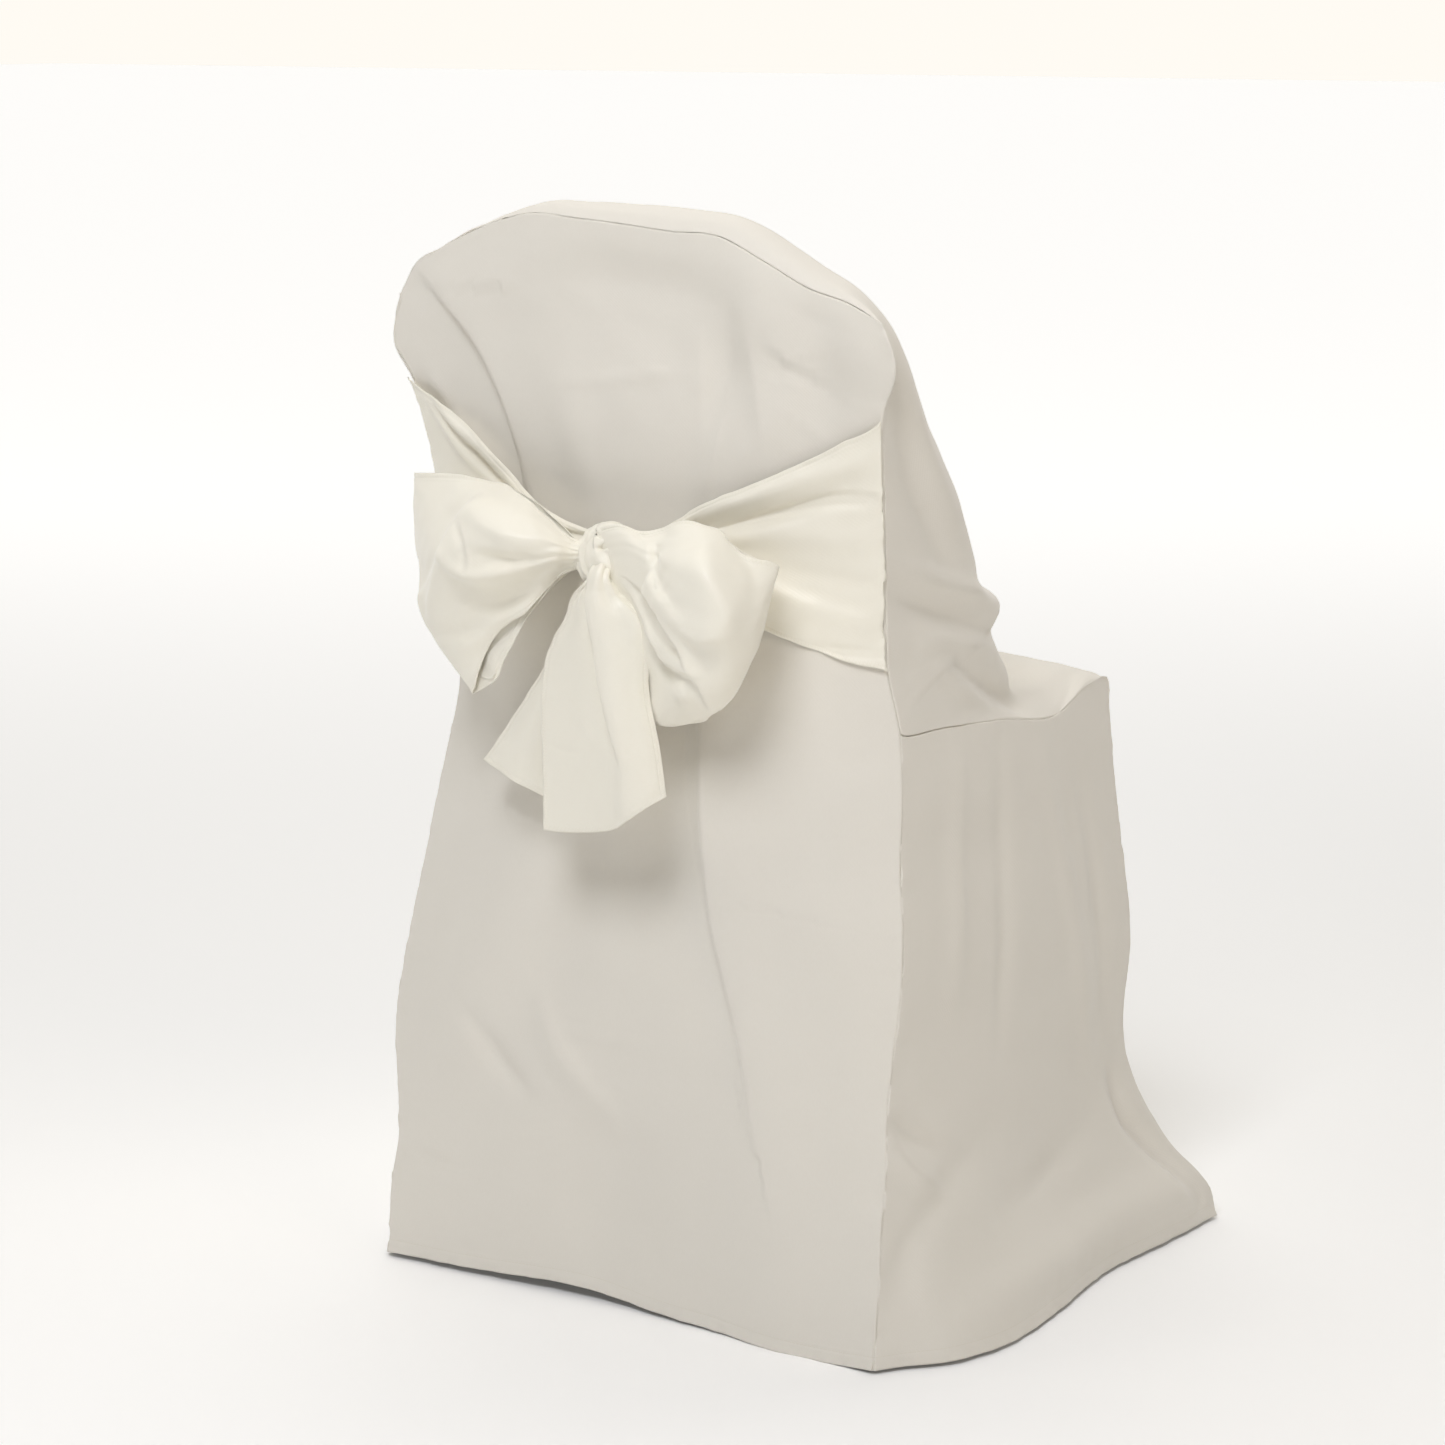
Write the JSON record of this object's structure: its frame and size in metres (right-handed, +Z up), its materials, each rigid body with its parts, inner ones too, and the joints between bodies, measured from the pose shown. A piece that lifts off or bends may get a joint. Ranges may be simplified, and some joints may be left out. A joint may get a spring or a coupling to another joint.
{
  "type": "chair cover with sash",
  "caption": "Full-length fitted cloth cover for a folding chair, with a wide sash from the side seams tied in a bow behind the back.",
  "frame": {"origin": "under the middle of the top, where the top rail of the chair back bears on the cloth", "axes": "+Z up, +Y from the back of the chair toward the front of its seat, +X toward the sitter's right"},
  "size_m": [0.559, 0.5568, 0.8387],
  "materials": {
    "cover_cloth": "satin-faced polyester, fine plain weave",
    "sash_cloth": "satin-faced polyester, fine plain weave, overlocked edges"
  },
  "bodies": {
    "root": {"back_panel": "cover_cloth", "inner_back_panel": "cover_cloth", "front_panel": "cover_cloth", "side_panel_right": "cover_cloth", "side_panel_left": "cover_cloth", "sash_band_right": "sash_cloth", "sash_band_left": "sash_cloth", "bow_knot": "sash_cloth", "bow_loop_left": "sash_cloth", "bow_loop_right": "sash_cloth", "sash_tail_front": "sash_cloth", "sash_tail_rear": "sash_cloth"}
  },
  "joints": []
}
